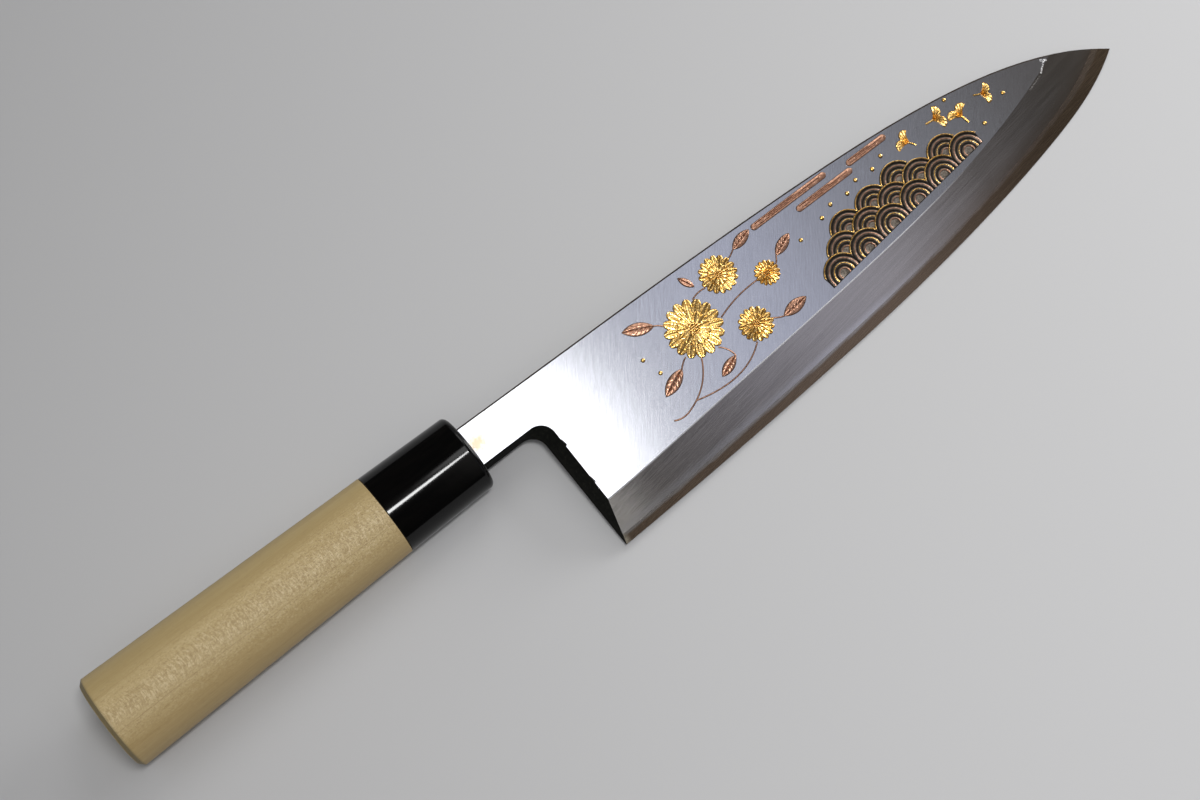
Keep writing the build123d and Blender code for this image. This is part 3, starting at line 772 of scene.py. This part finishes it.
def finish_piece(parts, name, slot, nodes=(), angle=38.0):
    """Joins the parts, laid out in the knife's frame in millimetres, into a piece in the knife's place."""
    bpy.ops.object.select_all(action="DESELECT")
    for part in parts:
        part.select_set(True)
    piece = parts[0]
    bpy.context.view_layer.objects.active = piece
    bpy.ops.object.join()
    piece.name = name
    piece.data.name = name
    piece.data.transform(knife @ Matrix.Scale(MM, 4))
    piece.data.materials.append(finishes[slot])
    bpy.ops.object.shade_smooth_by_angle(angle=radians(angle))
    piece.select_set(False)
    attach(piece, "root")
    if nodes:
        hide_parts(*nodes)


def petal(length, half_width, crown):
    """A rounded petal along x from its root, higher towards its end, with a groove down its middle."""
    def outline(share, side):
        return length * (1 - cos(pi * share)), half_width * side * max(0.08, sin(pi * share)) ** 0.75

    def height(share, side):
        dome = (1 - side ** 2) ** 0.5 * max(0.0, sin(pi * share)) ** 0.45 * (0.62 + 0.38 * share)
        groove = max(0.0, 1 - abs(side) * 3.2) * min(1.0, 8 * (1 - share))
        return 0.05 + crown * dome - 0.62 * crown * groove * dome
    return relief(outline, height, 10, 12)


def chrysanthemum(number, share_along, share_down, scale):
    """Two rings of grooved petals round a heart of small beads, on a plate in the middle of the pocket."""
    radius = flower_radius * scale
    place = inlay_place(share_along, share_down)
    parts = [bead(radius * petal_root_share, 0.05)]
    parts[0].data.transform(place)
    reach = radius * petal_reach_share
    half = radius * sin(pi / flower_petals)
    layers = (
        (flower_petals, radius - 2 * reach, reach, half * 0.97, 0.48, 0.0, 0.0),
        (flower_petals - 3, radius * 0.15, radius * 0.21, half * 0.80, 0.46, 0.5, 0.24),
    )
    for count, start, length, width, crown, shift, lift in layers:
        one = petal(length, width, crown)
        for k in range(count):
            turn = Matrix.Rotation(2 * pi * (k + shift) / count, 4, "Z")
            parts.append(placed_copy(one, place @ (turn @ Matrix.Translation((start, 0, lift)))))
        bpy.data.objects.remove(one)
    one = bead(radius * 0.046, 0.26)
    for distance, count in ((0.0, 1), (radius * 0.085, 6), (radius * 0.165, 12)):
        for k in range(count):
            angle = 2 * pi * k / count
            spot = Matrix.Translation((distance * cos(angle), distance * sin(angle), 0.52))
            parts.append(placed_copy(one, place @ spot))
    bpy.data.objects.remove(one)
    finish_piece(parts, f"chrysanthemum_relief_{number}", "gold", [f"chrysanthemum_{number}"])


def long_leaf(number, share_along, share_down, turn, scale):
    """A pointed leaf between two arcs, with a deep middle vein and slanted side veins."""
    length = leaf_length * scale
    belly = leaf_width * scale / 2
    arc = (length ** 2 / 4 + belly ** 2) / (2 * belly)

    def outline(share, side):
        x = (min(max(share, 0.004), 0.996) - 0.5) * length
        return x + length / 2, ((arc ** 2 - x ** 2) ** 0.5 - (arc - belly)) * side

    def height(share, side):
        taper = min(1.0, 5 * share, 5 * (1 - share))
        dome = (1 - side ** 2) ** 0.6 * taper
        vein = max(0.0, 1 - abs(side) * 5)
        slant = abs(((share * 7 - abs(side) * 1.4) % 1.0) - 0.5) * 2
        ribs = max(0.0, slant - 0.6) * 2.5 * (1 - abs(side)) ** 0.3 * taper
        return 0.06 + 0.48 * dome - 0.34 * vein * dome - 0.20 * ribs * dome

    part = relief(outline, height, 48, 16)
    part.data.transform(inlay_place(share_along, share_down, turn))
    finish_piece([part], f"long_leaf_relief_{number}", "copper", [f"long_leaf_{number}"], 60)


def bent_wire(start, bend, end, width, crown):
    """A wire half sunk in the face, bent once on its way, with its top at the crown's height."""
    bpy.ops.curve.primitive_bezier_curve_add()
    wire = bpy.context.active_object
    first, last = wire.data.splines[0].bezier_points
    for point, place in ((first, start), (last, end)):
        point.handle_left_type = point.handle_right_type = "FREE"
        point.co = (*place, 0)
        inner = [(a + 2 * b) / 3 for a, b in zip(place, bend)]
        outer = [2 * a - b for a, b in zip(place, inner)]
        point.handle_right = (*(inner if point == first else outer), 0)
        point.handle_left = (*(outer if point == first else inner), 0)
    wire.data.bevel_depth = width / 2
    wire.data.bevel_resolution = 2
    wire.data.use_fill_caps = True
    wire.data.resolution_u = 16
    bpy.ops.object.convert(target="MESH")
    wire = bpy.context.active_object
    edit(wire)
    bpy.ops.mesh.remove_doubles(threshold=weld_reach)
    bpy.ops.transform.resize(value=(1, 1, crown / (width / 2)), center_override=(0, 0, 0))
    close_part()
    return wire


def ginkgo_leaf(number, share_along, share_down, turn, scale):
    """A fan-shaped leaf in two lobes, with ribs that spread from its stalk; it covers its pocket's rim."""
    size = ginkgo_radius * scale * 1.12
    place = inlay_place(share_along, share_down, turn)
    lobe_gap = 0.01
    rib_count = 4
    parts = []

    def share_out(side):
        return 0.04 + 0.48 * (side + 1)

    for hand in (-1, 1):
        def outline(share, side):
            x, y = fan_point(size, share, share_out(side))
            return hand * (lobe_gap + x), y

        def height(share, side):
            ribs = 0.5 - 0.5 * cos(share * 2 * pi * rib_count)
            return 0.05 + 0.40 * max(0.0, sin(pi * min(1.0, share_out(side)))) ** 0.35 * (1 - 0.55 * ribs)
        parts.append(relief(outline, height, 24, 12))
    stalk = [(x * size, y * size) for x, y in ((0, -0.62), (0.04, -0.25), (0, 0.1))]
    parts.append(bent_wire(*stalk, 0.17 * size, 0.34))
    for part in parts:
        part.data.transform(place)
    finish_piece(parts, f"ginkgo_leaf_relief_{number}", "gold", [f"ginkgo_leaf_{number}"], 50)


def arc_through(first, middle, last, share):
    """A point at a share of the way along the arc through three points."""
    ax, ay = first
    bx, by = middle
    cx, cy = last
    a2, b2, c2 = ax ** 2 + ay ** 2, bx ** 2 + by ** 2, cx ** 2 + cy ** 2
    d = 2 * (ax * (by - cy) + bx * (cy - ay) + cx * (ay - by))
    centre = Vector((
        (a2 * (by - cy) + b2 * (cy - ay) + c2 * (ay - by)) / d,
        (a2 * (cx - bx) + b2 * (ax - cx) + c2 * (bx - ax)) / d,
    ))
    start, halfway = Vector(first) - centre, Vector(middle) - centre
    sweep = start.angle_signed(halfway) + halfway.angle_signed(Vector(last) - centre)
    return centre + Matrix.Rotation(-sweep * share, 2) @ start


def fan_point(size, ray, out):
    """A point of half a ginkgo leaf: on a ray between its side and its notch, a share of the way out."""
    corner = (0.98, 0.52)
    rim = arc_through(corner, (0.62, 0.98), (0.0, 0.74), ray)
    side = arc_through((0.0, -0.06), (0.42, 0.34), corner, out)
    x = rim.x * size * out + (side.x - corner[0] * out) * size * (1 - ray)
    return x, rim.y * size * out + (side.y - corner[1] * out) * size * (1 - ray)


# The waves' own frame runs along the ridge, a small margin above it
wave_x = tip_reach * wave_start_share
wave_run = wave_pitch * wave_row_counts[0]
wave_low = edge_at(wave_x) + bevel_width + wave_margin
wave_rise = edge_at(wave_x + wave_run) + bevel_width + wave_margin - wave_low
wave_place = place_on_face(wave_x, wave_low, asin(wave_rise / hypot(wave_run, wave_rise)))

# Ridges across a wave, as shares of its radius
wave_bands = ((0.90, 1.00), (0.66, 0.82), (0.42, 0.58), (0.0, 0.34))

# Wires along a wave's rings: metal, share of the radius and width; their tops have one height
wave_wires = (("gold", 0.955, 0.42), ("copper", 0.74, 0.40), ("gold", 0.50, 0.42), ("copper", 0.26, 0.40))
wave_wire_top = 0.62


def wave_centre(row, column):
    """The middle of a wave in the rows' own frame."""
    return wave_pitch * (column + (row + 1) / 2), wave_lift * row + wave_foot


def ring_end(radius, row):
    """The angle at which a wave's ring goes behind its neighbour, or under the first row's foot line."""
    wide = radius > wave_pitch / 2
    side = acos(min(1.0, wave_pitch / 2 / radius))
    if row == 0:
        foot = asin(max(-1.0, -wave_foot / radius))
        return max(side, foot) if wide else foot
    apart = hypot(wave_pitch / 2, wave_lift)
    reach = (radius ** 2 + apart ** 2 - wave_radius ** 2) / (2 * apart * radius)
    hidden = acos(max(-1.0, min(1.0, reach))) - asin(wave_lift / apart)
    return max(hidden, side) if wide else hidden


def wave_profile(share):
    """Height of a wave's body at a share of its radius: rounded ridges with cuts between them."""
    for low, high in wave_bands:
        if low <= share <= high:
            middle = (share - low) / (high - low)
            return 0.10 + 0.36 * (4 * middle * (1 - middle)) ** 0.5
    return 0.04


def wave_body(row):
    """One scale of a row of waves as a relief over rings, before it is copied along the row."""
    inner, rings = 0.30, 35
    shares = [inner + (1 - inner) * k / (rings - 1) for k in range(rings)]
    shares = [share for share in shares if row == 0 or ring_end(wave_radius * share, row) < pi / 2 - 0.02]
    cusp = (wave_radius ** 2 - wave_pitch ** 2 / 4) ** 0.5 - wave_lift
    middle = (0, cusp if row > 0 else -wave_foot * 0.9)

    def outline(out, side):
        ring = round(out * len(shares))
        if ring == 0:
            return middle
        radius = wave_radius * shares[ring - 1]
        end = ring_end(radius, row)
        angle = pi / 2 + (pi / 2 - end) * side
        return radius * cos(angle), radius * sin(angle)

    def height(out, side):
        ring = round(out * len(shares))
        return wave_profile(shares[ring - 1]) if ring else 0.30
    return relief(outline, height, len(shares), 26)


def ring_wire(row, share, width, crown):
    """A round wire along a wave's ring, spun clockwise from its left end; none where the ring is hidden."""
    radius = wave_radius * share
    end = ring_end(radius, row)
    if end >= pi / 2 - 0.12:
        return None
    bpy.ops.mesh.primitive_circle_add(
        vertices=8, radius=width / 2, fill_type="NGON", calc_uvs=False,
        location=(radius, 0, 0), rotation=(pi / 2, 0, 0),
    )
    bpy.ops.object.transform_apply(location=True, rotation=True, scale=True)
    wire = bpy.context.active_object
    edit(wire)
    bpy.ops.mesh.spin(steps=26, angle=pi - 2 * end, center=(0, 0, 0), axis=(0, 0, 1))
    close_part()
    wire.data.transform(Matrix.Translation((0, 0, crown - width / 2)) @ Matrix.Rotation(pi - end, 4, "Z"))
    return wire


def wave_rows():
    """All scales of the waves, each in its pocket, with raised wires of brighter metals."""
    wires = {"gold": [], "copper": []}
    for row, columns in enumerate(wave_row_counts):
        body = wave_body(row)
        rings = [(slot, ring_wire(row, share, width, wave_wire_top)) for slot, share, width in wave_wires]
        rings = [(slot, ring) for slot, ring in rings if ring]
        for column in range(columns):
            place = wave_place @ Matrix.Translation((*wave_centre(row, column), 0))
            name = f"wave_row_{row + 1}_scale_{column + 1}"
            finish_piece([placed_copy(body, place)], f"{name}_relief", "dark_alloy", [name], 60)
            for slot, ring in rings:
                wires[slot].append(placed_copy(ring, place))
        for part in [body] + [ring for _, ring in rings]:
            bpy.data.objects.remove(part)
    for slot, parts in wires.items():
        finish_piece(parts, f"wave_{slot}_lines", slot, angle=60)


# Cuts along a mist band: where each lies across it, and the shares of its length at its ends
mist_cuts = ((-0.45, 0.08, 0.74), (0.05, 0.22, 0.93), (0.5, 0.05, 0.60))


def mist_band(number, share_along, share_down, length_share):
    """A rounded band with long cuts along it that run out at different places."""
    length = tip_reach * length_share
    radius = mist_height / 2

    def outline(share, side):
        x = length * (share - 0.5)
        over = min(max(0.0, abs(x) - (length / 2 - radius)), radius * 0.995)
        return x, side * (radius ** 2 - over ** 2) ** 0.5

    def height(share, side):
        dome = (1 - side ** 2) ** 0.5
        cut = 0.0
        for middle, start, end in mist_cuts:
            cut = max(cut, max(0.0, 1 - abs(side - middle) * 6) * (start < share < end))
        return 0.06 + 0.36 * dome - 0.26 * cut * dome

    part = relief(outline, height, 90, 24)
    part.data.transform(inlay_place(share_along, share_down))
    finish_piece([part], f"mist_band_relief_{number}", "copper", [f"mist_band_{number}"], 60)


# Stems between the flowers and leaves: where each starts, bends towards and ends, in the knife's frame
stems = (
    ((61.5, -33.5), (72.0, -31.0), (76.6, -22.0)), ((66.5, -31.9), (84.0, -37.0), (94.4, -28.9)),
    ((90.3, -15.6), (99.0, -12.6), (107.8, -13.0)), ((86.6, -5.4), (89.4, -4.2), (92.5, -4.8)),
    ((115.8, -12.6), (117.0, -12.2), (118.0, -10.3)), ((104.4, -1.9), (106.2, -1.4), (107.9, -0.3)),
    ((103.2, -25.6), (105.2, -27.2), (106.9, -27.6)), ((73.4, -6.5), (72.4, -5.2), (71.0, -4.6)),
    ((72.7, -18.8), (70.6, -19.6), (69.2, -21.1)), ((83.2, -22.7), (85.9, -25.0), (85.9, -28.3)),
    ((61.5, -33.5), (58.5, -33.9), (56.5, -32.6)),
)


def stem_wires():
    """Thin copper stems laid on the flat between the flowers and the leaves."""
    width, crown = 0.55, 0.24
    parts = []
    for start, bend, end in stems:
        bend_on, end_on = [(x - start[0], y - start[1]) for x, y in (bend, end)]
        wire = bent_wire((0, 0), bend_on, end_on, width, crown)
        wire.data.transform(place_on_face(*start))
        parts.append(wire)
    finish_piece(parts, "stem_wires", "copper", angle=60)


def spray():
    """All drops of spray as small domes."""
    places = [inlay_place(*shares) for shares in drop_shares]
    last_row = len(wave_row_counts) - 1
    for column in range(wave_row_counts[last_row]):
        x, y = wave_centre(last_row, column)
        for ahead, up in crest_drop_shares:
            spot = Matrix.Translation((x + wave_pitch * ahead, y + wave_radius * up, 0))
            places.append(wave_place @ spot)
    drop = bead(drop_radius, 0.42)
    parts = [placed_copy(drop, place) for place in places]
    bpy.data.objects.remove(drop)
    finish_piece(parts, "spray_drops_relief", "gold", ["spray_drops"], 60)


def lay_out(element, rows):
    """Makes one numbered element of the inlay for each row of its layout."""
    for number, shares in enumerate(rows, start=1):
        element(number, *shares)


lay_out(chrysanthemum, flower_shares)
lay_out(long_leaf, leaf_shares)
lay_out(ginkgo_leaf, ginkgo_shares)
wave_rows()
stem_wires()
lay_out(mist_band, mist_shares)
spray()


def make_floor():
    """A plain pale floor, with painted light that makes it a little lighter towards the picture's lower
    right.
    """
    size, middle, swing = 6.0, 0.565, 0.10
    east_rise, north_rise = 0.23, -0.32
    bpy.ops.mesh.primitive_plane_add(size=size)
    floor = bpy.context.active_object
    floor.name = "floor"
    n = Finish("floor_paper")
    place = n.add("ShaderNodeTexCoord").outputs["Object"]
    east, north, _ = n.apart(place)
    # Painted light: the tone rises towards the picture's lower right, within a small swing
    slope = n.scaled(east, east_rise, n.times(north, north_rise))
    tone = n.plus(n.smaller(n.larger(slope, -swing), swing), middle)
    tone = n.scaled(n.noise(place, 2.0, 2.0), 0.02, tone)
    colour = n.together(tone, tone, n.times(tone, 1.005))
    material = n.shade({"Base Color": colour, "Roughness": 0.9, "Specular IOR Level": 0.1})
    floor.data.materials.append(material)
    floor.select_set(False)


# What the flat mirrors, and what the bevel mirrors, from the middle of the room to its east end
patch_stops = (
    (0.58, (0.34, 0.34, 0.35)), (0.63, (0.5, 0.5, 0.53)), (0.655, (0.62, 0.64, 0.74)),
    (0.678, (0.72, 0.75, 0.93)), (0.698, (0.44, 0.45, 0.52)), (0.715, (0.3, 0.3, 0.33)),
    (0.732, (0.2, 0.2, 0.21)), (0.745, (0.175, 0.17, 0.17)), (0.77, (0.125, 0.115, 0.108)),
    (0.8, (0.1, 0.09, 0.08)),
)
room_stops = (
    (0.5, (0.04, 0.04, 0.04)), (0.585, (0.036, 0.035, 0.034)), (0.597, (1.0, 0.97, 0.93)),
    (0.605, (0.5, 0.48, 0.46)), (0.615, (0.1, 0.095, 0.088)), (0.63, (0.072, 0.067, 0.06)),
    (0.65, (0.074, 0.068, 0.064)), (0.66, (0.11, 0.103, 0.101)), (0.67, (0.215, 0.21, 0.22)),
    (0.69, (0.57, 0.57, 0.7)), (0.7, (0.8, 0.81, 0.97)), (0.72, (0.9, 0.91, 1.08)),
    (0.727, (0.8, 0.8, 0.88)), (0.735, (0.29, 0.275, 0.27)), (0.75, (0.125, 0.11, 0.098)),
    (0.76, (0.105, 0.088, 0.074)), (0.78, (0.055, 0.044, 0.034)), (0.9, (0.04, 0.032, 0.025)),
)


def make_room():
    """Soft grey walls, with a bright band that the bevel mirrors and a patch that the flat mirrors."""
    world = bpy.data.worlds.new("room")
    bpy.context.scene.world = world
    world.use_nodes = True
    n = Nodes(world.node_tree)
    east, north, up = n.apart(n.add("ShaderNodeTexCoord").outputs["Generated"])
    eastward = n.scaled(east, 0.5, 0.5)
    room = n.mix(n.between(north, -0.32, -0.22), n.ramp(eastward, room_stops), (0.050, 0.048, 0.046))
    butt_side = n.mix(n.between(up, 0.60, 0.85), (0.14, 0.14, 0.143), (0.66, 0.66, 0.66))
    room = n.mix(n.between(east, 0.04, -0.16), room, butt_side)
    far_side = n.times(n.between(north, 0.30, 0.55), n.between(east, 0.22, 0.40))
    room = n.mix(far_side, room, (0.45, 0.45, 0.46))
    room = n.mix(n.between(up, 0.30, 0.0), room, (0.04, 0.04, 0.04))
    in_patch = n.times(n.between(north, -0.21, -0.08), n.between(north, 0.24, 0.10))
    in_patch = n.times(in_patch, n.between(east, 0.19, 0.26))
    sky = n.mix(in_patch, room, n.ramp(eastward, patch_stops))
    background = n.add("ShaderNodeBackground", {"Color": sky, "Strength": 1.0})
    n.add("ShaderNodeOutputWorld", {"Surface": background.outputs[0]})


make_floor()
make_room()
